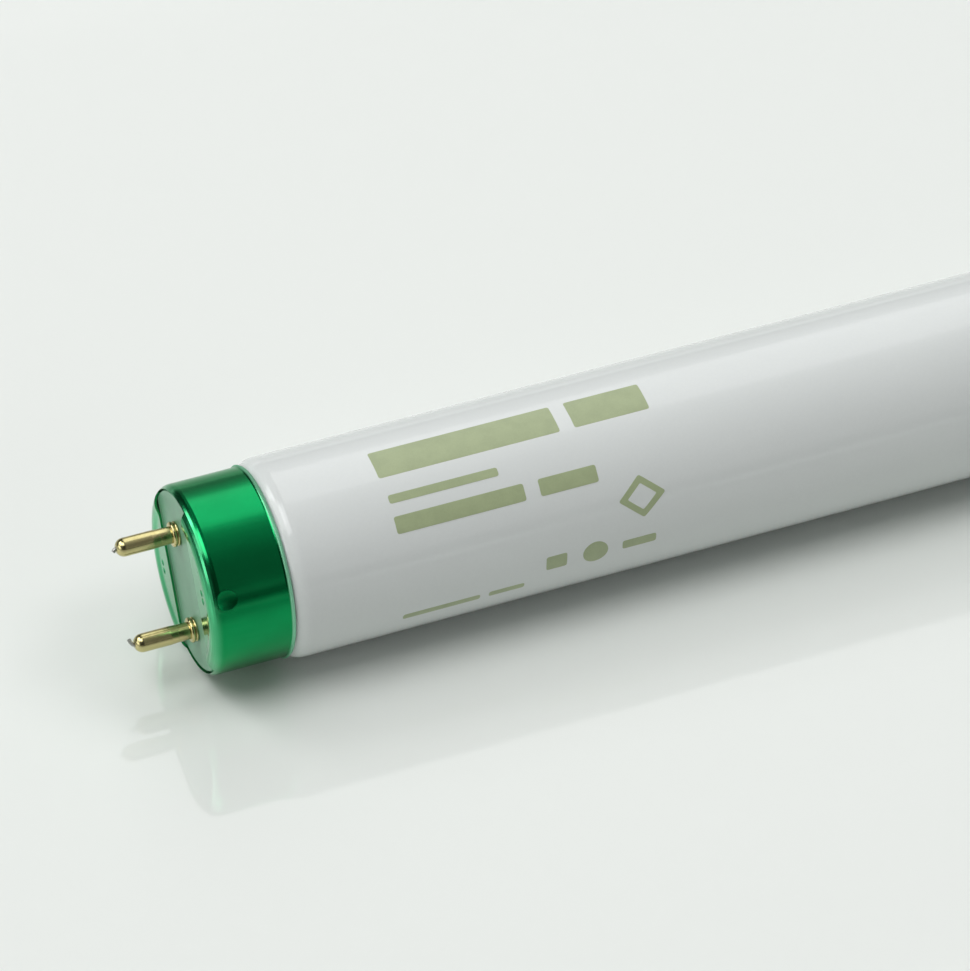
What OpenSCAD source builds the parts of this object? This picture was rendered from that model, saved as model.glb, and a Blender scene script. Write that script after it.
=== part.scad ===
// Straight fluorescent tube with a two-pin cap at each end, in millimetres.
// +X runs along the tube and +Z is up. The origin is at the middle of the tube.

/* [Lamp] */
// Distance between the end faces of the two caps
face_length = 1499.4; // [430:0.1:1800]
// Roll of the plane of the pins from upright, as the lamp lies
base_roll = 29; // [0:1:90]

/* [Glass] */
// Outside diameter of the glass
glass_d = 26; // [25.2:0.1:26.6]
// Distance from the cap's mouth to the glass at its full diameter
shoulder_reach = 2.2; // [2:0.1:4]
// Radius of the rounded shoulder
shoulder_r = 3.0; // [2.4:0.1:3.4]
// Radius of the hollow between the shoulder and the neck
hollow_r = 0.6; // [0.4:0.1:1.2]
// Radius of the edge at the sealed end, inside the cap
seal_edge_r = 2.0; // [0.5:0.1:4]
// Distance from the cap's end face to the sealed end
seal_depth = 4.6; // [4.2:0.1:6]
// Diameter of the exhaust stub in the middle of the sealed end
exhaust_d = 4.4; // [3:0.1:5]
// Length of the exhaust stub
exhaust_len = 1.7; // [1:0.1:1.8]

/* [Cap shell] */
// Outside diameter of the cap
cap_d = 24.65; // [24.2:0.05:25.4]
// Length of the cap, from its end face to its mouth
cap_len = 10.8; // [9:0.1:14]
// Thickness of the drawn sheet
sheet_t = 0.3; // [0.2:0.05:0.4]
// Radius of the rolled edge around the end face
corner_r = 1.7; // [1.2:0.05:2]
// Depth of the flat of the end face below the rolled edge
face_drop = 0.3; // [0.1:0.05:0.4]
// Radius of the flare at the mouth
flare_r = 0.5; // [0.3:0.05:0.8]
// Angle through which the mouth flares
flare_angle = 60; // [20:5:80]
// Width of the slot in the end face
slot_w = 11.8; // [8:0.1:13]
// Length of the slot over its ends, which follow the cap's rim
slot_len = 23.9; // [20:0.1:23.9]

/* [Insulator] */
// Thickness of the insulator plate
plate_t = 1.6; // [1.2:0.1:2]
// Depth of the recess in the plate, which has the outline of the slot
plate_recess = 0.2; // [0.05:0.05:0.4]

/* [Pins] */
// Distance between the axes of the two pins
pin_pitch = 12.7; // [11:0.1:14]
// Diameter of a pin
pin_d = 2.4; // [2.3:0.05:2.6]
// Reach of a pin beyond the cap's end face
pin_reach = 7.3; // [6.6:0.1:7.6]
// Diameter of the pin's neck beside its collar
pin_neck_d = 2.25; // [2.1:0.05:2.3]
// Length of the neck
pin_neck_len = 1.5; // [0.5:0.1:2]
// Length over which the neck widens to the full pin
pin_blend_len = 1.0; // [0.5:0.1:1.5]
// Diameter over the larger bead of the collar
collar_d = 3.3; // [2.9:0.05:3.6]
// Length of the collar, over both its beads
collar_len = 0.95; // [0.6:0.05:1.4]
// Length of the rounded tip
tip_len = 1.05; // [0.8:0.05:1.4]
// Diameter of the flat at the tip
tip_flat_d = 1.1; // [1:0.05:1.6]
// Bore of the hollow pin
pin_bore_d = 1.3; // [1:0.05:1.5]
// Hole left in the tip for the lead wire
tip_hole_d = 0.6; // [0.55:0.05:0.8]
// Diameter of the head that rivets the pin behind the plate
rivet_d = 3.2; // [2.8:0.1:3.6]
// Thickness of that head
rivet_t = 0.5; // [0.3:0.05:0.6]

/* [Lead wires and cement] */
// Diameter of a lead wire
lead_d = 0.5; // [0.3:0.05:0.5]
// Distance of a lead wire from the lamp's axis where it leaves the glass
lead_root = 3.2; // [2.8:0.1:4]
// Distance that a short stub stands out of its pin
short_stub_out = 0.42; // [0.3:0.02:0.8]
// Distance that a short stub leans to the side
short_stub_side = 0.3; // [0:0.02:0.6]
// Distance that a long stub stands out of its pin
long_stub_out = 0.6; // [0.4:0.02:0.9]
// Distance that a long stub leans to the side
long_stub_side = 0.85; // [0:0.02:0.9]
// Thickness of the cement between the cap and the glass
cement_t = 0.78; // [0.5:0.02:1]
// Length of the cement ring
cement_len = 4.6; // [3:0.1:5]
// Least distance of the cement from the cap's mouth
cement_setback = 1.0; // [0.8:0.1:1.4]

/* [Marks in the cap] */
// Distance of the staking marks from the lamp's axis
stake_offset = 8.5; // [8:0.1:9]
// Distance between the two dots of a staking mark
stake_pitch = 1.1; // [1:0.1:1.4]
// Radius of the punch that makes a dot
stake_punch_r = 0.8; // [0.4:0.05:1]
// Depth of a dot
stake_depth = 0.17; // [0.05:0.01:0.18]
// Distance of the side dimples from the cap's end face
dimple_at = 2.3; // [2.2:0.1:3]
// Radius of the hollow of a side dimple
dimple_r = 5; // [4:0.1:6]
// Depth of a side dimple
dimple_depth = 0.22; // [0.1:0.01:0.26]

/* [Hidden] */

// Facets of round pieces, and steps along a rounded corner of a profile
$fn = 96;
corner_steps = 10;
// Sides of a lead wire, and its steps along the sweep to the pin and along the stub
wire_sides = 12;
sweep_steps = 10;
stub_steps = 4;

// Running-out of a cut past the piece that it cuts
overrun = 1;
// Slack of a piece in its seat, and the film between the cement and what it bonds
fit_gap = 0.05;
bond_gap = 0.02;

cap_r = cap_d / 2;
bore_r = cap_r - sheet_t;
glass_r = glass_d / 2;

// The rolled edge and the dished face are two arcs of one radius that meet at this angle
dish_angle = acos(1 - face_drop / (2 * corner_r));
corner_at = [cap_r - corner_r, corner_r];
dish_at = corner_at - 2 * corner_r * [sin(dish_angle), cos(dish_angle)];
// Depth at which the mouth starts to flare
flare_depth = cap_len - (flare_r + sheet_t) * sin(flare_angle);
// Depth from which a side dimple bulges out of the sheet's back
bulge_depth = corner_r * 0.7;

// The insulator plate lies against the back of the dished face, and the pins stand in its recess
plate_front = face_drop + sheet_t;
pin_seat = plate_front + plate_recess;
plate_back = plate_front + plate_t;
plate_r = bore_r - fit_gap;
plate_edge_r = corner_r - sheet_t - fit_gap;
plate_edge_start = acos(min(1, (corner_r - plate_front) / plate_edge_r));

pin_r = pin_d / 2;
pin_at = pin_pitch / 2;
// Depths along a pin: the collar's outer end, the start of the full shank and the start of the tip
collar_top = pin_seat - collar_len;
shank_start = collar_top - pin_neck_len - pin_blend_len;
tip_start = tip_len - pin_reach;
// The bead beside the plate, as shares of the collar's length and radius
inner_bead_share = 0.42;
inner_radius_share = 0.97;

// The glass necks in to leave room for the cement, by two arcs that meet at this angle
neck_r = bore_r - cement_t;
shoulder_angle = acos(1 - (glass_r - neck_r) / (shoulder_r + hollow_r));
shoulder_depth = cap_len + shoulder_reach;
neck_depth = shoulder_depth - (shoulder_r + hollow_r) * sin(shoulder_angle);
exhaust_edge_share = 0.6;

// The cement stops at the neck, short of the mouth
cement_mouth = min(cap_len - cement_setback, neck_depth);
// Where a lead wire bends, between the sealed glass and the back of the pin
lead_r = lead_d / 2;
lead_leaves = seal_depth - lead_d;
lead_enters = plate_back + rivet_t + lead_d;

CAP_GREEN = "#0a8a48";
GLASS_WHITE = "#dfe2e1";
PLATE_GREY = "#8fa69a";
PIN_BRASS = "#b9a866";
WIRE_GREY = "#8c8a86";
CEMENT_GREY = "#6f6a60";

// Points of an arc in steps, from one angle to another
function arc(centre, r, from, to, steps = corner_steps) =
    [for (i = [0:steps]) let (a = from + (to - from) * i / steps) centre + r * [cos(a), sin(a)]];

function reversed(points) = [for (i = [len(points) - 1:-1:0]) points[i]];

// Line of the cap's sheet in radius and depth, at a distance into the sheet from its outer face
function sheet_line(inset) = concat(
    [[0, face_drop + inset]],
    arc(dish_at, corner_r + inset, 90, 90 - dish_angle),
    arc(corner_at, corner_r - inset, 270 - dish_angle, 360),
    arc([cap_r + flare_r, flare_depth], flare_r + inset, 180, 180 - flare_angle)
);

// Line of one end of the glass in radius and depth, from the exhaust stub to the shoulder
function glass_line() =
    let (
        stub_r = exhaust_d / 2,
        stub_edge = stub_r * exhaust_edge_share,
        stub_depth = seal_depth - exhaust_len
    )
    concat(
        [[0, stub_depth]],
        arc([stub_r - stub_edge, stub_depth + stub_edge], stub_edge, 270, 360),
        [[stub_r, seal_depth]],
        arc([neck_r - seal_edge_r, seal_depth + seal_edge_r], seal_edge_r, 270, 360),
        arc([neck_r + hollow_r, neck_depth], hollow_r, 180, 180 - shoulder_angle),
        arc([glass_r - shoulder_r, shoulder_depth], shoulder_r, 360 - shoulder_angle, 360)
    );

// Moves a point of an end's line to its place along the whole tube
function along_tube(points, side) = [for (p = points) [p[0], side * (face_length / 2 - p[1])]];

// A piece of an end is drawn with depth into the lamp along +Z and the pins' line along +Y
module at_end(side) {
    rotate([0, 0, side > 0 ? 180 : 0])
        translate([-face_length / 2, 0, 0])
            rotate([side * base_roll, 0, 0])
                rotate([90, 0, 90])
                    children();
}

module at_left() { at_end(-1) children(); }

module at_right() { at_end(1) children(); }

// A ring or disc turned from points of radius and depth
module turned(points) {
    rotate_extrude() polygon(points);
}

// Block that cuts the slot down to a depth, with ends that follow the rim
module slot_cut(depth) {
    translate([0, 0, -overrun])
        intersection() {
            translate([-slot_w / 2, -cap_r, 0]) cube([slot_w, cap_d, depth + overrun]);
            cylinder(d = slot_len, h = depth + overrun);
        }
}

// Dots punched beside the slot to hold the plate
module stake_marks() {
    for (side = [-1, 1], end = [-1, 1])
        translate([side * stake_offset, end * stake_pitch / 2, face_drop + stake_depth - stake_punch_r])
            sphere(r = stake_punch_r);
}

// Balls at the two dimples, which lie a quarter turn from the pins and key into the plate's edge
module side_dimples(inset) {
    for (side = [-1, 1])
        translate([side * (cap_r - dimple_depth + dimple_r), 0, dimple_at])
            sphere(r = dimple_r + inset);
}

// Drawn cup with a rolled edge, a slotted, staked end face, two side dimples and a flared mouth
module cap_shell() {
    color(CAP_GREEN)
        difference() {
            union() {
                turned(concat(sheet_line(0), reversed(sheet_line(sheet_t))));
                intersection() {
                    side_dimples(sheet_t);
                    translate([0, 0, bulge_depth])
                        cylinder(r = bore_r + sheet_t / 2, h = flare_depth - bulge_depth);
                }
            }
            side_dimples(0);
            slot_cut(corner_r);
            stake_marks();
        }
}

// Plate behind the slot, rounded at its front edge to sit in the cup
module insulator() {
    color(PLATE_GREY)
        difference() {
            turned(concat(
                [[0, plate_front]],
                arc(corner_at, plate_edge_r, 270 + plate_edge_start, 360),
                [[plate_r, plate_back], [0, plate_back]]
            ));
            slot_cut(pin_seat);
            for (side = [-1, 1])
                translate([0, side * pin_at, plate_front - overrun])
                    cylinder(d = pin_d + 2 * fit_gap, h = plate_t + 2 * overrun);
            side_dimples(sheet_t + fit_gap);
        }
}

// Hollow pin with a two-bead collar in the plate's recess and a riveted head behind the plate
module pin(side) {
    collar_r = collar_d / 2;
    inner_r = collar_len * inner_bead_share / 2;
    outer_r = collar_len * (1 - inner_bead_share) / 2;
    tip_r = tip_flat_d / 2;
    // The tip is an arc that is tangent to the shank and ends at the flat
    tip_drop = pin_r - tip_r;
    tip_arc_r = (tip_len * tip_len + tip_drop * tip_drop) / (2 * tip_drop);
    tip_arc_angle = asin(tip_len / tip_arc_r);
    color(PIN_BRASS)
        translate([0, side * pin_at, 0])
            turned(concat(
                [[pin_bore_d / 2, plate_back + rivet_t]],
                [[rivet_d / 2, plate_back + rivet_t], [rivet_d / 2, plate_back]],
                [[pin_r, plate_back], [pin_r, pin_seat]],
                arc([collar_r * inner_radius_share - inner_r, pin_seat - inner_r], inner_r, 90, -90),
                arc([collar_r - outer_r, collar_top + outer_r], outer_r, 90, -90),
                [[pin_neck_d / 2, collar_top], [pin_neck_d / 2, collar_top - pin_neck_len]],
                [[pin_r, shank_start]],
                arc([pin_r - tip_arc_r, tip_start], tip_arc_r, 0, -tip_arc_angle),
                [[tip_hole_d / 2, -pin_reach], [tip_hole_d / 2, tip_start]],
                [[pin_bore_d / 2, tip_start]]
            ));
}

// Route of a lead wire as distance from the lamp's axis and depth: it leaves the sealed glass,
// sweeps out to the pin, runs through it and leans over where it stands out of the tip
function lead_route(stub_out, stub_side) = concat(
    [[lead_root, seal_depth]],
    [for (i = [0:sweep_steps]) let (s = i / sweep_steps)
        [lead_root + (pin_at - lead_root) * (1 - cos(180 * s)) / 2,
         lead_leaves + (lead_enters - lead_leaves) * s]],
    [for (i = [0:stub_steps]) let (s = i / stub_steps)
        [pin_at - stub_side * s * s, -pin_reach - stub_out * s]]
);

// Ring of points around a place on a route, square to the route there
function wire_ring(route, i, side) =
    let (
        ahead = route[min(i + 1, len(route) - 1)] - route[max(i - 1, 0)],
        across = [ahead[1], -ahead[0]] / norm(ahead)
    )
    [for (k = [0:wire_sides - 1]) let (a = 360 * k / wire_sides, out = lead_r * cos(a))
        [lead_r * sin(a), side * (route[i][0] + out * across[0]), route[i][1] + out * across[1]]];

// Skin between two neighbouring rings, turned the right way for either side of the cap
function wire_skin(rings, side) =
    [for (i = [0:rings - 2], k = [0:wire_sides - 1])
        let (a = i * wire_sides + k, b = i * wire_sides + (k + 1) % wire_sides)
        side > 0 ? [a, a + wire_sides, b + wire_sides, b] : [b, b + wire_sides, a + wire_sides, a]];

// Lead wire from the sealed glass, through the pin, to the stub that stands out of its tip
module lead(side, stub_out, stub_side) {
    route = lead_route(stub_out, stub_side);
    rings = len(route);
    near_end = [for (k = [0:wire_sides - 1]) k];
    far_end = [for (k = [0:wire_sides - 1]) (rings - 1) * wire_sides + k];
    color(WIRE_GREY)
        polyhedron(
            points = [for (i = [0:rings - 1]) each wire_ring(route, i, side)],
            faces = concat(
                wire_skin(rings, side),
                [side > 0 ? near_end : reversed(near_end)],
                [side > 0 ? reversed(far_end) : far_end]
            )
        );
}

// Ring of cement that bonds the cap to the neck of the glass
module cement() {
    color(CEMENT_GREY)
        turned([
            [neck_r + bond_gap, cement_mouth], [bore_r - bond_gap, cement_mouth],
            [bore_r - bond_gap, cement_mouth - cement_len], [neck_r + bond_gap, cement_mouth - cement_len]
        ]);
}

module glass_tube() {
    line = glass_line();
    color(GLASS_WHITE)
        rotate([0, 90, 0])
            turned(concat(along_tube(line, 1), reversed(along_tube(line, -1))));
}

module left_cap_shell() { at_left() cap_shell(); }

module left_insulator() { at_left() insulator(); }

module left_upper_pin() { at_left() pin(1); }

module left_lower_pin() { at_left() pin(-1); }

module left_upper_lead() { at_left() lead(1, short_stub_out, short_stub_side); }

module left_lower_lead() { at_left() lead(-1, long_stub_out, long_stub_side); }

module left_cement() { at_left() cement(); }

module right_cap_shell() { at_right() cap_shell(); }

module right_insulator() { at_right() insulator(); }

module right_upper_pin() { at_right() pin(1); }

module right_lower_pin() { at_right() pin(-1); }

module right_upper_lead() { at_right() lead(1, short_stub_out, short_stub_side); }

module right_lower_lead() { at_right() lead(-1, short_stub_out, short_stub_side); }

module right_cement() { at_right() cement(); }

glass_tube();
left_cap_shell();
left_insulator();
left_upper_pin();
left_lower_pin();
left_upper_lead();
left_lower_lead();
left_cement();
right_cap_shell();
right_insulator();
right_upper_pin();
right_lower_pin();
right_upper_lead();
right_lower_lead();
right_cement();
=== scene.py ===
import math

import bmesh
import bpy
from bpy.props import FloatProperty, FloatVectorProperty, PointerProperty
from mathutils import Matrix, Vector


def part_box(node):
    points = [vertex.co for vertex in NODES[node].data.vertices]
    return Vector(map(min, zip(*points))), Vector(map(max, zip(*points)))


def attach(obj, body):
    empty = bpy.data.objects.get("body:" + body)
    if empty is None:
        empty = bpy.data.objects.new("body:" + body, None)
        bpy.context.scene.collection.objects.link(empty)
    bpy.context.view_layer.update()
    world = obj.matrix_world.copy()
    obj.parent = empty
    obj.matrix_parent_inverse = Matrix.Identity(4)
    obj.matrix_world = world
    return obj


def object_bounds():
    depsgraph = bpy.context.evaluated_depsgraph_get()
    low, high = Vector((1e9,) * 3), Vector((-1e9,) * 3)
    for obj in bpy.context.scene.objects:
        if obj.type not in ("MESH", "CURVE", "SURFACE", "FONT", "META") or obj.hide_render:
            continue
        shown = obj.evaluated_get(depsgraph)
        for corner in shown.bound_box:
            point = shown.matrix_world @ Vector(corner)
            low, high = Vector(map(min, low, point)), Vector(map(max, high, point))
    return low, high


bl_info = {
    "name": "Fluorescent Tube",
    "version": (1, 0, 0),
    "blender": (4, 5, 0),
    "location": "3D View > Sidebar > Tube",
    "description": "Dresses a fluorescent tube lamp and sets up its studio",
    "category": "Object",
}

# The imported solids, as they come
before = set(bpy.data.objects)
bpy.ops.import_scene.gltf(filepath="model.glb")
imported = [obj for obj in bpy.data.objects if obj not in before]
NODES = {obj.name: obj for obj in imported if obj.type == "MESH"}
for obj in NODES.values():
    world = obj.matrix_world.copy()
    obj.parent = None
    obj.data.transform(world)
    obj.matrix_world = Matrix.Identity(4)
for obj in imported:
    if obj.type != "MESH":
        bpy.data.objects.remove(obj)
CAD_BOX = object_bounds()
MM = 0.001
GLASS_LOW, GLASS_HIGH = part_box("glass_tube")
GLASS_RADIUS = (GLASS_HIGH.z - GLASS_LOW.z) / 2
CAP_LOW, CAP_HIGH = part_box("left_cap_shell")
END_FACE = -CAP_LOW.x
CAP_DEPTH = CAP_HIGH.x - CAP_LOW.x
# The line of the pins leans this far from upright. The two side dimples of a cap lie a
# quarter turn from it, at this distance from the end face
PIN_LEAN = math.radians(29.0)
DIMPLE_AT = 2.3 * MM
# A dimple is painted with darker dye, a painted shade, that fades out between these squares
# of the distance from its middle
DIMPLE_FADE_SQUARED = (0.3e-6, 3.0e-6)
# The end face turns into the side between these distances from it. Up to there the dye is
# painted paler, a painted reflection, and the coat is thicker
FACE_BAND = (0.3 * MM, 1.5 * MM)
# The pale cut edge, widened into a painted highlight along the lip, begins at these distances
# from the cap's mouth
MOUTH_BAND = (0.55 * MM, 0.3 * MM)
# How strongly the glass and the floor's sheet bend light
IOR = 1.5
# Away from the lamp the floor loses its gloss and turns into the backdrop, in metres
GLOSS_FADE = (0.04, 0.7)
SHEET_FADE = (0.1, 0.9)
FLOOR_HALF = 14.0
FLOOR_CUTS = 8
SENSOR_WIDTH = 36.0
CLIP_RANGE = (0.02, 60.0)

# Sockets of the colour Mix node
MIX_FACTOR, MIX_A, MIX_B, MIX_OUT = 0, 6, 7, 2


# Shader graphs
class Socket:
    """An output of a node. Python's operators on it add Math nodes."""

    def __init__(self, graph, end):
        self.graph = graph
        self.end = end

    def maths(self, operation, *terms):
        return self.graph.node(
            "ShaderNodeMath", {"operation": operation}, dict(enumerate(terms))
        )

    def __add__(self, other):
        return self.maths("ADD", self, other)

    def __sub__(self, other):
        return self.maths("SUBTRACT", self, other)

    def __rsub__(self, other):
        return self.maths("SUBTRACT", other, self)

    def __mul__(self, other):
        return self.maths("MULTIPLY", self, other)

    def __abs__(self):
        return self.maths("ABSOLUTE", self)

    def larger(self, other):
        return self.maths("MAXIMUM", self, other)

    def ramp(self, low, high):
        """0 below low, 1 above high, with a smooth rise between."""
        return self.graph.node(
            "ShaderNodeMapRange",
            {"interpolation_type": "SMOOTHSTEP"},
            {"Value": self, "From Min": low, "From Max": high},
        )

    def other(self, name):
        """Another output of the same node."""
        return Socket(self.graph, self.end.node.outputs[name])


class Graph:
    """The node tree of a material, a world or a lamp."""

    def __init__(self, owner):
        owner.use_nodes = True
        self.tree = owner.node_tree
        self.tree.nodes.clear()

    def node(self, kind, settings=None, values=None, out=0):
        """Adds a node: its settings first, then the values or links of its sockets."""
        made = self.tree.nodes.new(kind)
        for key, value in (settings or {}).items():
            setattr(made, key, value)
        for key, value in (values or {}).items():
            if isinstance(value, Socket):
                self.tree.links.new(value.end, made.inputs[key])
            else:
                made.inputs[key].default_value = value
        return Socket(self, made.outputs[out]) if len(made.outputs) else None

    def place(self):
        """The point on the lamp, in metres."""
        return self.node("ShaderNodeTexCoord", out="Object")

    def axes(self, vector):
        x = self.node("ShaderNodeSeparateXYZ", values={0: vector})
        return x, x.other("Y"), x.other("Z")

    def stretched(self, vector, factors):
        return self.node(
            "ShaderNodeVectorMath", {"operation": "MULTIPLY"}, {0: vector, 1: factors}
        )

    def noise(self, vector, scale, detail=2.0, roughness=0.5):
        return self.node(
            "ShaderNodeTexNoise",
            values={
                "Vector": vector,
                "Scale": scale,
                "Detail": detail,
                "Roughness": roughness,
            },
        )

    def mix(self, factor, a, b):
        return self.node(
            "ShaderNodeMix",
            {"data_type": "RGBA"},
            {MIX_FACTOR: factor, MIX_A: a, MIX_B: b},
            MIX_OUT,
        )

    def bump(self, height, distance, strength=1.0):
        return self.node(
            "ShaderNodeBump",
            values={"Height": height, "Distance": distance, "Strength": strength},
        )

    def rays(self):
        """Rays from the camera, and rays that gloss, metal and glass send on."""
        path = self.node("ShaderNodeLightPath", out="Is Camera Ray")
        return path, path.other("Is Glossy Ray").larger(path.other("Is Transmission Ray"))

    def finish(self, kind, values):
        """The shader of a material and its output."""
        self.output(self.node(kind, values=values))

    def output(self, shader):
        self.node("ShaderNodeOutputMaterial", values={"Surface": shader})


def rgba(colour, factor=1.0):
    return (*(min(1.0, c * factor) for c in colour), 1.0)


def new_material(name):
    material = bpy.data.materials.new(name)
    return material, Graph(material)


# Finishes
def glass_finish(look):
    material, g = new_material("tube_glass")
    place = g.place()
    cloud = g.noise(g.stretched(place, (0.35, 1.0, 1.0)), 90.0)
    grain = g.noise(place, 2600.0, 1.0)
    tone = (cloud - 0.5) * 0.9 + (grain - 0.5) * 0.5 + 0.5
    powder = rgba(look.powder)
    colour = g.mix(tone.ramp(0.1, 0.9), rgba(look.powder, 0.965), powder)
    drawn = g.noise(g.stretched(place, (1.0, 12.0, 12.0)), 22.0, 1.0)
    g.finish(
        "ShaderNodeBsdfPrincipled",
        {
            "Base Color": colour,
            "Roughness": cloud * 0.03 + look.glass_gloss,
            "IOR": IOR,
            "Normal": g.bump(drawn, 0.00001),
        },
    )
    return material


def anodised_finish(look):
    material, g = new_material("cap_anodised")
    place = g.place()
    x, y, z = g.axes(place)
    end = END_FACE - abs(x)
    face = 1.0 - end.ramp(*FACE_BAND)
    off_dimple = end - DIMPLE_AT
    off_line = y * math.sin(PIN_LEAN) + z * math.cos(PIN_LEAN)
    dimple = 1.0 - (off_dimple * off_dimple + off_line * off_line).ramp(*DIMPLE_FADE_SQUARED)
    streak = g.noise(g.stretched(place, (0.02, 1.0, 1.0)), 5200.0, 3.0, 0.6)
    mottle = g.noise(place, 260.0, 3.0)
    dyed = g.mix(mottle.ramp(0.25, 0.8), rgba(look.dye, 0.94), rgba(look.dye, 1.04))
    # Paler dye in the streaks, and over the end face and its rim as a painted reflection
    pale = streak.ramp(0.35, 0.75) * 0.06 + face * 0.75
    streaks_and_painted_sheen = g.mix(pale, dyed, rgba(look.pale_streaks_and_painted_sheen))
    # Painted shade: the dye is darker inside the dimple
    dimple_shaded = g.mix(dimple * 0.6, streaks_and_painted_sheen, rgba(look.dye, 0.45))
    # Pale bare cut edge at the mouth, widened to serve as a painted highlight along the lip
    mouth_edge = end.ramp(*(CAP_DEPTH - gap for gap in MOUTH_BAND))
    colour = g.mix(mouth_edge, dimple_shaded, rgba(look.cut_edge_and_highlight))
    g.finish(
        "ShaderNodeBsdfPrincipled",
        {
            "Base Color": colour,
            "Metallic": 1.0,
            "Roughness": streak * 0.05
            + mouth_edge * 0.3
            + dimple * 0.12
            + look.cap_gloss,
            "Specular Tint": (0.75, 0.9, 0.8, 1.0),
            "Coat Weight": face * 0.85 + 0.12,
            "Coat Roughness": 0.1,
            "Normal": g.bump(streak, 0.000001, 0.3),
        },
    )
    return material


def plate_finish(look):
    material, g = new_material("insulating_plate")
    place = g.place()
    speck = g.noise(place, 3800.0, 2.0)
    cloud = g.noise(place, 420.0, 2.0)
    tone = speck.ramp(0.3, 0.8) * 0.5 + cloud.ramp(0.3, 0.7) * 0.5
    colour = g.mix(tone, rgba(look.plate, 0.9), rgba(look.plate, 1.05))
    g.finish(
        "ShaderNodeBsdfPrincipled",
        {
            "Base Color": colour,
            "Roughness": speck * 0.15 + 0.3,
            "Normal": g.bump(speck, 0.00001, 0.5),
        },
    )
    return material


def brass_finish(look):
    material, g = new_material("pin_brass_drawn")
    place = g.place()
    drawn = g.noise(g.stretched(place, (0.03, 1.0, 1.0)), 9000.0, 2.0)
    tarnish = g.noise(place, 700.0, 3.0)
    clean = g.mix(drawn.ramp(0.3, 0.8), rgba(look.brass, 0.92), rgba(look.brass))
    colour = g.mix(tarnish.ramp(0.5, 0.8) * 0.35, clean, rgba(look.tarnish))
    g.finish(
        "ShaderNodeBsdfPrincipled",
        {
            "Base Color": colour,
            "Metallic": 1.0,
            "Roughness": drawn * 0.08 + tarnish * 0.08 + 0.14,
            "Normal": g.bump(drawn, 0.000003, 0.6),
        },
    )
    return material


def lead_finish(look):
    material, g = new_material("lead_wire_drawn")
    place = g.place()
    drawn = g.noise(g.stretched(place, (0.1, 1.0, 1.0)), 6000.0, 2.0)
    colour = g.mix(drawn.ramp(0.3, 0.7), rgba(look.lead, 0.75), rgba(look.lead))
    g.finish(
        "ShaderNodeBsdfPrincipled",
        {
            "Base Color": colour,
            "Metallic": 1.0,
            "Roughness": drawn * 0.2 + 0.25,
            "Normal": g.bump(drawn, 0.000005, 0.6),
        },
    )
    return material


def cement_finish(look):
    material, g = new_material("cement_baked")
    place = g.place()
    grit = g.noise(place, 2400.0, 4.0, 0.65)
    colour = g.mix(grit.ramp(0.3, 0.7), rgba(look.cement, 0.6), rgba(look.cement))
    g.finish(
        "ShaderNodeBsdfPrincipled",
        {
            "Base Color": colour,
            "Roughness": grit * 0.2 + 0.75,
            "Normal": g.bump(grit, 0.00005, 0.8),
        },
    )
    return material


def ink_finish(look):
    material, g = new_material("printed_ink")
    place = g.place()
    mesh = g.noise(place, 5200.0, 1.0)
    cloud = g.noise(place, 480.0, 2.0)
    tone = mesh.ramp(0.25, 0.75) * 0.35 + cloud.ramp(0.3, 0.7) * 0.65
    colour = g.mix(tone, rgba(look.ink, 0.93), rgba(look.ink, 1.05))
    g.finish(
        "ShaderNodeBsdfPrincipled",
        {
            "Base Color": colour,
            "Roughness": mesh * 0.15 + look.ink_gloss,
            "Normal": g.bump(mesh, 0.000004, 0.5),
        },
    )
    return material


def floor_finish(stage):
    """A glossy sheet that turns matt, and then into the pale backdrop, away from the lamp."""
    material, g = new_material("floor_sheet")
    place = g.place()
    x, y, _ = g.axes(place)
    away = (abs(x) - END_FACE).larger(abs(y))
    cloud = g.noise(place, 1.5, 2.0)
    tone = cloud.ramp(0.2, 0.8)
    colour = g.mix(tone, rgba(stage.floor_colour, 0.99), rgba(stage.floor_colour))
    sheet = g.node(
        "ShaderNodeBsdfPrincipled",
        values={
            "Base Color": colour,
            "Roughness": cloud * 0.02 + away.ramp(*GLOSS_FADE) * 0.45 + stage.floor_gloss,
            "IOR": IOR,
        },
    )
    backdrop = g.node("ShaderNodeEmission", values={"Color": rgba(stage.backdrop)})
    camera, mirrored = g.rays()
    far = away.ramp(*SHEET_FADE) * camera.larger(mirrored)
    g.output(g.node("ShaderNodeMixShader", values={0: far, 1: sheet, 2: backdrop}))
    return material


def dress(names, material):
    """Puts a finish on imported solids."""
    for name in names:
        node = NODES[name]
        if not node.material_slots:
            node.data.materials.append(material)
        for slot in node.material_slots:
            slot.material = material


def both_ends(piece):
    return [f"{side}_{piece}" for side in ("left", "right")]


# Printed marks
PRINT = (
    ("wide_bar", "bar", (25.2, 49.6), (3.6, -15.4)),
    ("wide_block", "bar", (51.6, 61.8), (3.6, -15.4)),
    ("thin_line", "bar", (25.4, 40.0), (-26.5, -31.5)),
    ("middle_bar", "bar", (25.3, 42.6), (-39.0, -48.8)),
    ("middle_block", "bar", (44.6, 52.4), (-39.0, -48.8)),
    ("diamond", "diamond", (54.4, 60.8), (-50.5, -76.0)),
    ("small_block", "bar", (44.2, 47.0), (-86.0, -96.0)),
    ("small_disc", "disc", (49.2, 52.6), (-84.0, -99.0)),
    ("small_bar", "bar", (54.6, 59.2), (-89.0, -95.0)),
    ("foot_dash", "bar", (25.0, 35.4), (-102.2, -106.4)),
    ("foot_dot_line", "bar", (36.6, 41.4), (-102.2, -106.4)),
)
CORNER = 0.35 * MM
CORNER_STEPS = 5
DISC_STEPS = 48
DIAMOND_HOLE = 0.62
CUT_TOLERANCE = 1e-7
BEND_STEP = math.radians(2.0)


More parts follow.
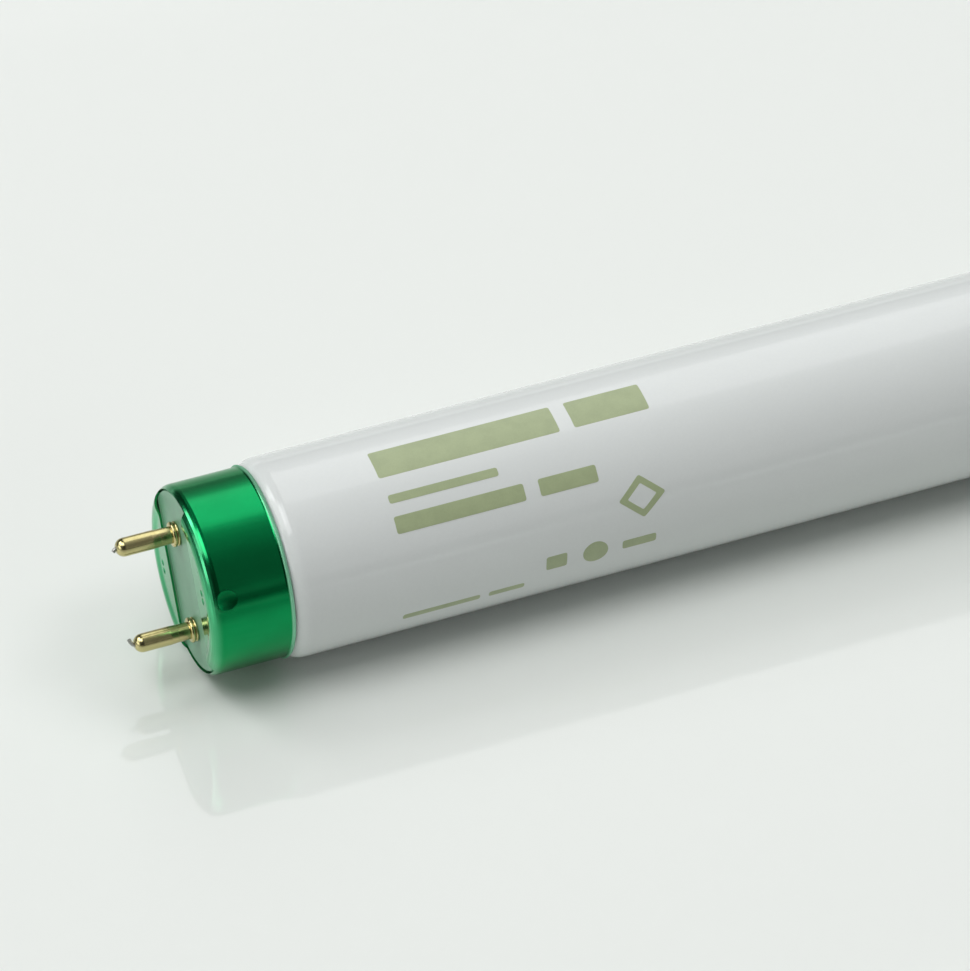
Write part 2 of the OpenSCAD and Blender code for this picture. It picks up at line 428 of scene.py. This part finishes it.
def rounded(points, radius):
    """The outline with each corner rounded."""
    outline = []
    for i, corner in enumerate(points):
        before, after = points[i - 1], points[(i + 1) % len(points)]
        a = corner + (before - corner).normalized() * radius
        b = corner + (after - corner).normalized() * radius
        for step in range(CORNER_STEPS + 1):
            t = step / CORNER_STEPS
            outline.append(a * (1 - t) ** 2 + corner * 2 * t * (1 - t) + b * t * t)
    return outline


def mark_outlines(shape, along, around):
    """Closed outlines of a mark laid flat: length along the glass, length round it."""
    x0, x1 = (along[0] * MM, along[1] * MM)
    s0, s1 = (math.radians(a) * GLASS_RADIUS for a in sorted(around))
    centre = Vector(((x0 + x1) / 2, (s0 + s1) / 2))
    half = Vector(((x1 - x0) / 2, (s1 - s0) / 2))
    if shape == "bar":
        corners = [(x0, s0), (x1, s0), (x1, s1), (x0, s1)]
        return [rounded([Vector(c) for c in corners], CORNER)]
    if shape == "disc":
        turns = [2 * math.pi * i / DISC_STEPS for i in range(DISC_STEPS)]
        return [
            [
                centre + Vector((half.x * math.cos(t), half.y * math.sin(t)))
                for t in turns
            ]
        ]
    outlines = []
    for share in (1.0, DIAMOND_HOLE):
        tips = [(1, 0), (0, 1), (-1, 0), (0, -1)]
        points = [
            centre + Vector((half.x * a * share, half.y * b * share)) for a, b in tips
        ]
        outlines.append(rounded(points, CORNER * share))
    return outlines


def bent_mark(name, outlines, thickness, sunk):
    """A thin closed skin on the glass from flat outlines."""
    bm = bmesh.new()
    for outline in outlines:
        ring = [bm.verts.new((p.x, p.y, 0)) for p in outline]
        for a, b in zip(ring, ring[1:] + ring[:1]):
            bm.edges.new((a, b))
    bmesh.ops.triangle_fill(bm, use_beauty=True, edges=bm.edges[:], normal=(0, 0, 1))
    step = BEND_STEP * GLASS_RADIUS
    low = min(v.co.y for v in bm.verts)
    high = max(v.co.y for v in bm.verts)
    for i in range(math.ceil(low / step), math.floor(high / step) + 1):
        bmesh.ops.bisect_plane(
            bm,
            geom=bm.verts[:] + bm.edges[:] + bm.faces[:],
            plane_co=(0, i * step, 0),
            plane_no=(0, 1, 0),
            dist=CUT_TOLERANCE,
        )
    if not bm.faces:
        raise RuntimeError(f"The mark {name} has no face")
    top = bm.faces[:]
    rim = [e for e in bm.edges if e.is_boundary]
    copied = bmesh.ops.duplicate(bm, geom=bm.verts[:] + bm.edges[:] + bm.faces[:])
    twin = copied["vert_map"]
    upper = {v for f in top for v in f.verts}
    for edge in rim:
        loop = edge.link_loops[0]
        a, b = loop.vert, loop.link_loop_next.vert
        bm.faces.new((b, a, twin[a], twin[b]))
    for v in bm.verts:
        turn = v.co.y / GLASS_RADIUS
        radius = GLASS_RADIUS + (thickness if v in upper else -sunk)
        v.co = (
            v.co.x - END_FACE,
            radius * math.sin(turn),
            radius * math.cos(turn),
        )
    bmesh.ops.recalc_face_normals(bm, faces=bm.faces[:])
    mesh = bpy.data.meshes.new(name)
    bm.to_mesh(mesh)
    bm.free()
    piece = bpy.data.objects.new(name, mesh)
    bpy.context.scene.collection.objects.link(piece)
    return piece


# Stage
def flat_sheet(name, corners, cuts):
    """A flat four-cornered sheet, cut into a grid."""
    bm = bmesh.new()
    a, b, c, d = (Vector(p) for p in corners)
    rows = []
    for i in range(cuts + 1):
        left, right = a.lerp(d, i / cuts), b.lerp(c, i / cuts)
        rows.append([bm.verts.new(left.lerp(right, j / cuts)) for j in range(cuts + 1)])
    for low, high in zip(rows, rows[1:]):
        for j in range(cuts):
            bm.faces.new((low[j], low[j + 1], high[j + 1], high[j]))
    mesh = bpy.data.meshes.new(name)
    bm.to_mesh(mesh)
    bm.free()
    sheet = bpy.data.objects.new(name, mesh)
    bpy.context.scene.collection.objects.link(sheet)
    return sheet


# Studio lamps, all at one distance from the left cap and facing it. Angles are turns
# about the tube, in degrees, from straight up towards the back
LAMP_CENTRE = Vector((-0.68, 0.0, 0.0))
LAMP_DISTANCE = 3.0
# The soft box is one bright panel, with a glow that fades on both sides of it
BOX_ALONG = 0.28
BOX_LENGTH = 0.99
BOX_ROW = 8
BOX_FIRST, BOX_LAST = -64, 80
PANEL_EDGES = (12.0, 60.0)
GLOW_LEAST = 0.16
GLOW_MOST = 0.75
GLOW_HALVES = 8.0
# The other lamps: name, share of their direction along the tube, turn, length, width
# as an angle, brightness
LARGE_LAMPS = (
    ("left_high", -0.60, 14, 1.60, 40, 2.50),
    ("near_high", -0.30, -4, 1.30, 34, 3.30),
    ("right_high", 0.58, -7, 0.90, 24, 5.00),
    ("left_back", -0.50, 38, 0.90, 20, 3.85),
    ("front_low", 0.28, -72, 0.99, 8, 0.35),
    ("right_front_low", 0.64, -66, 0.90, 16, 2.50),
    ("end_high", -0.93, 0, 1.00, 34, 1.80),
    ("end_low", -0.93, -36, 1.10, 20, 1.00),
    ("end_front_low", -0.85, -62, 0.90, 18, 1.00),
)
# What mirrors the surroundings sees the pale backdrop fade out between these heights
BACKDROP_TOP = (0.0, 0.07)


def box_brightness(turn, panel):
    """Brightness of the soft box at a turn: the panel's own, or the glow beside it."""
    low, high = PANEL_EDGES
    if low < turn < high:
        return panel
    gap = max(low - turn, turn - high)
    return GLOW_LEAST + GLOW_MOST * 0.5 ** (gap / GLOW_HALVES)


def soft_lamp(name, along, turn, length, angle, radiance):
    """A rectangular soft lamp whose face has the given brightness."""
    a = math.radians(turn)
    across = math.sqrt(1 - along * along)
    out = Vector((along, across * math.sin(a), across * math.cos(a)))
    side = (Vector((1.0, 0.0, 0.0)) - out * along).normalized()
    width = 2 * LAMP_DISTANCE * math.tan(math.radians(angle) / 2)
    data = bpy.data.lights.new(name, "AREA")
    data.shape = "RECTANGLE"
    data.size, data.size_y = length, width
    data.energy = radiance * math.pi * length * width
    lamp = bpy.data.objects.new(name, data)
    facing = Matrix((side, out.cross(side), out)).transposed().to_4x4()
    lamp.matrix_world = Matrix.Translation(LAMP_CENTRE + out * LAMP_DISTANCE) @ facing
    lamp.visible_camera = False
    bpy.context.scene.collection.objects.link(lamp)


# Settings
def colour_setting(name, description, default):
    return FloatVectorProperty(
        name=name,
        description=description,
        default=default,
        subtype="COLOR",
        size=3,
        min=0.0,
        max=1.0,
    )


def gloss_setting(name, description, default):
    return FloatProperty(
        name=name,
        description=description,
        default=default,
        min=0.0,
        max=1.0,
        subtype="FACTOR",
    )


class TubeLook(bpy.types.PropertyGroup):
    """Colours and gloss of the lamp's finishes"""

    powder: colour_setting(
        "Powder", "Colour of the powder inside the glass", (0.775, 0.81, 0.797)
    )
    glass_gloss: gloss_setting("Glass roughness", "Roughness of the glass", 0.03)
    dye: colour_setting("Dye", "Green dye of the caps", (0.0008, 0.286, 0.08))
    # Paler green of the streaks, also painted over the end faces as a painted reflection
    pale_streaks_and_painted_sheen: colour_setting(
        "Pale dye", "Paler green where the sheet is drawn", (0.04, 0.46, 0.19)
    )
    # Pale cut edge, also a painted highlight along the mouth's lip
    cut_edge_and_highlight: colour_setting(
        "Cut edge", "Edge of the cap's sheet at its mouth", (0.30, 0.68, 0.46)
    )
    cap_gloss: gloss_setting("Cap roughness", "Least roughness of the caps", 0.2)
    plate: colour_setting("Plate", "Colour of the insulating plates", (0.19, 0.415, 0.265))
    brass: colour_setting("Brass", "Colour of the pins", (0.65, 0.58, 0.28))
    tarnish: colour_setting("Tarnish", "Duller brass in patches", (0.42, 0.34, 0.13))
    lead: colour_setting("Lead wire", "Colour of the lead wires", (0.50, 0.50, 0.47))
    cement: colour_setting("Cement", "Colour of the basing cement", (0.16, 0.14, 0.11))
    ink: colour_setting("Ink", "Colour of the printed marks", (0.40, 0.47, 0.27))
    ink_gloss: gloss_setting("Ink roughness", "Least roughness of the ink", 0.25)
    ink_thickness: FloatProperty(
        name="Ink thickness",
        description="How far the printed marks stand on the glass",
        default=0.006 * MM,
        min=0.0,
        max=0.2 * MM,
        unit="LENGTH",
        precision=5,
    )
    ink_sunk: FloatProperty(
        name="Ink depth",
        description="How far the printed marks reach into the glass's skin",
        default=0.06 * MM,
        min=0.0,
        max=0.2 * MM,
        unit="LENGTH",
        precision=5,
    )


class TubeStage(bpy.types.PropertyGroup):
    """Floor, lamps and camera"""

    camera_place: FloatVectorProperty(
        name="Camera",
        description="Where the camera stands",
        default=(-0.90517, -0.46553, 0.48382),
        size=3,
        subtype="TRANSLATION",
        unit="LENGTH",
        precision=5,
    )
    camera_azimuth: FloatProperty(
        name="Azimuth",
        description="Turn of the view from straight across the tube",
        default=math.radians(22.88),
        subtype="ANGLE",
    )
    camera_elevation: FloatProperty(
        name="Elevation",
        description="How far the view looks down",
        default=math.radians(43.58),
        subtype="ANGLE",
    )
    camera_roll: FloatProperty(
        name="Roll",
        description="Turn of the picture about the view",
        default=math.radians(1.51),
        subtype="ANGLE",
    )
    camera_lens: FloatProperty(
        name="Lens",
        description="Focal length of the camera in millimetres",
        default=203.91,
        min=10.0,
        max=1000.0,
    )
    floor_colour: colour_setting(
        "Floor", "Colour of the floor", (0.842, 0.875, 0.842)
    )
    floor_gloss: gloss_setting("Floor roughness", "Roughness of the floor", 0.03)
    backdrop: colour_setting(
        "Backdrop", "Colour seen behind the floor", (0.80, 0.85, 0.82)
    )
    fill: colour_setting("Fill", "Light of the room", (0.038, 0.038, 0.038))
    soft_box: FloatProperty(
        name="Soft box", description="Brightness of the soft box", default=1.7, min=0.0
    )
    lamps: FloatProperty(
        name="Lamps",
        description="Brightness of the lamps beside the soft box",
        default=0.93,
        min=0.0,
    )


# Operators
class TubeOperator:
    """What the operators share"""

    bl_options = {"REGISTER", "UNDO"}

    @property
    def look(self):
        return bpy.context.scene.tube_look


class TUBE_OT_glass(TubeOperator, bpy.types.Operator):
    """Dress the glass tube, white from the powder inside"""

    bl_idname = "tube.dress_glass"
    bl_label = "Glass tube"

    def execute(self, context):
        dress(["glass_tube"], glass_finish(self.look))
        return {"FINISHED"}


class TUBE_OT_caps(TubeOperator, bpy.types.Operator):
    """Dress the two cap shells in green anodised aluminium"""

    bl_idname = "tube.dress_caps"
    bl_label = "Cap shells"

    def execute(self, context):
        dress(both_ends("cap_shell"), anodised_finish(self.look))
        return {"FINISHED"}


class TUBE_OT_plates(TubeOperator, bpy.types.Operator):
    """Dress the insulating plates that carry the pins"""

    bl_idname = "tube.dress_plates"
    bl_label = "Insulating plates"

    def execute(self, context):
        dress(both_ends("insulator"), plate_finish(self.look))
        return {"FINISHED"}


class TUBE_OT_pins(TubeOperator, bpy.types.Operator):
    """Dress the four hollow contact pins in drawn brass"""

    bl_idname = "tube.dress_pins"
    bl_label = "Pins"

    def execute(self, context):
        dress(both_ends("upper_pin") + both_ends("lower_pin"), brass_finish(self.look))
        return {"FINISHED"}


class TUBE_OT_leads(TubeOperator, bpy.types.Operator):
    """Dress the lead wires that end in the pins"""

    bl_idname = "tube.dress_leads"
    bl_label = "Lead wires"

    def execute(self, context):
        dress(both_ends("upper_lead") + both_ends("lower_lead"), lead_finish(self.look))
        return {"FINISHED"}


class TUBE_OT_cement(TubeOperator, bpy.types.Operator):
    """Dress the rings of cement that hold the caps on the glass"""

    bl_idname = "tube.dress_cement"
    bl_label = "Basing cement"

    def execute(self, context):
        dress(both_ends("cement"), cement_finish(self.look))
        return {"FINISHED"}


class TUBE_OT_print(TubeOperator, bpy.types.Operator):
    """Print plain bars and shapes on the glass near the left cap"""

    bl_idname = "tube.print_marks"
    bl_label = "Printed marks"

    def execute(self, context):
        look = self.look
        ink = ink_finish(look)
        for name, shape, along, around in PRINT:
            piece = bent_mark(
                f"print_{name}",
                mark_outlines(shape, along, around),
                look.ink_thickness,
                look.ink_sunk,
            )
            piece.data.materials.append(ink)
            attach(piece, "root")
        return {"FINISHED"}


class TUBE_OT_stage(TubeOperator, bpy.types.Operator):
    """Set up the floor, the lamps, the surroundings and the camera"""

    bl_idname = "tube.set_stage"
    bl_label = "Stage"

    def execute(self, context):
        stage = context.scene.tube_stage
        self.lay_floor(stage)
        self.hang_lamps(stage)
        self.surround(context.scene, stage)
        self.place_camera(context.scene, stage)
        return {"FINISHED"}

    def lay_floor(self, stage):
        z = CAD_BOX[0].z
        half = FLOOR_HALF
        corners = [(-half, -half, z), (half, -half, z), (half, half, z), (-half, half, z)]
        floor = flat_sheet("floor", corners, FLOOR_CUTS)
        floor.data.materials.append(floor_finish(stage))

    def hang_lamps(self, stage):
        for turn in range(BOX_FIRST, BOX_LAST + 1, BOX_ROW):
            soft_lamp(
                f"soft_box_{turn - BOX_FIRST:03d}",
                BOX_ALONG,
                turn,
                BOX_LENGTH,
                BOX_ROW,
                box_brightness(turn, stage.soft_box),
            )
        for name, along, turn, length, angle, brightness in LARGE_LAMPS:
            soft_lamp(
                f"lamp_{name}", along, turn, length, angle, brightness * stage.lamps
            )

    def surround(self, scene, stage):
        world = bpy.data.worlds.new("studio_surroundings")
        scene.world = world
        g = Graph(world)
        camera, mirrored = g.rays()
        _, _, height = g.axes(g.node("ShaderNodeTexCoord", out="Generated"))
        backdrop = 1.0 - height.ramp(*BACKDROP_TOP)
        seen = camera.larger(mirrored * backdrop)
        colour = g.mix(seen, rgba(stage.fill), rgba(stage.backdrop))
        background = g.node("ShaderNodeBackground", values={"Color": colour})
        g.node("ShaderNodeOutputWorld", values={"Surface": background})

    def place_camera(self, scene, stage):
        a, e, roll = stage.camera_azimuth, stage.camera_elevation, stage.camera_roll
        ahead = Vector(
            (math.sin(a) * math.cos(e), math.cos(a) * math.cos(e), -math.sin(e))
        )
        level = Vector((math.cos(a), -math.sin(a), 0.0))
        upright = level.cross(ahead)
        right = level * math.cos(roll) + upright * math.sin(roll)
        up = upright * math.cos(roll) - level * math.sin(roll)
        data = bpy.data.cameras.new("photo_camera")
        data.lens = stage.camera_lens
        data.sensor_width = SENSOR_WIDTH
        data.clip_start, data.clip_end = CLIP_RANGE
        camera = bpy.data.objects.new("photo_camera", data)
        turn = Matrix((right, up, -ahead)).transposed()
        camera.matrix_world = Matrix.Translation(stage.camera_place) @ turn.to_4x4()
        scene.collection.objects.link(camera)
        scene.camera = camera
        scene.view_settings.view_transform = "Standard"


OPERATORS = (
    TUBE_OT_glass,
    TUBE_OT_caps,
    TUBE_OT_plates,
    TUBE_OT_pins,
    TUBE_OT_leads,
    TUBE_OT_cement,
    TUBE_OT_print,
    TUBE_OT_stage,
)


class TUBE_PT_panel(bpy.types.Panel):
    """The lamp's settings and steps"""

    bl_idname = "TUBE_PT_panel"
    bl_label = "Fluorescent tube"
    bl_space_type = "VIEW_3D"
    bl_region_type = "UI"
    bl_category = "Tube"

    def draw(self, context):
        for owner in (context.scene.tube_look, context.scene.tube_stage):
            box = self.layout.box()
            for name in owner.__annotations__:
                box.prop(owner, name)
        for operator in OPERATORS:
            self.layout.operator(operator.bl_idname)


CLASSES = (TubeLook, TubeStage, *OPERATORS, TUBE_PT_panel)


def register():
    for cls in CLASSES:
        bpy.utils.register_class(cls)
    bpy.types.Scene.tube_look = PointerProperty(type=TubeLook)
    bpy.types.Scene.tube_stage = PointerProperty(type=TubeStage)


def unregister():
    del bpy.types.Scene.tube_stage
    del bpy.types.Scene.tube_look
    for cls in reversed(CLASSES):
        bpy.utils.unregister_class(cls)


def main():
    register()
    bpy.ops.tube.dress_glass()
    bpy.ops.tube.dress_caps()
    bpy.ops.tube.dress_plates()
    bpy.ops.tube.dress_pins()
    bpy.ops.tube.dress_leads()
    bpy.ops.tube.dress_cement()
    bpy.ops.tube.print_marks()
    bpy.ops.tube.set_stage()


if __name__ == "__main__":
    main()
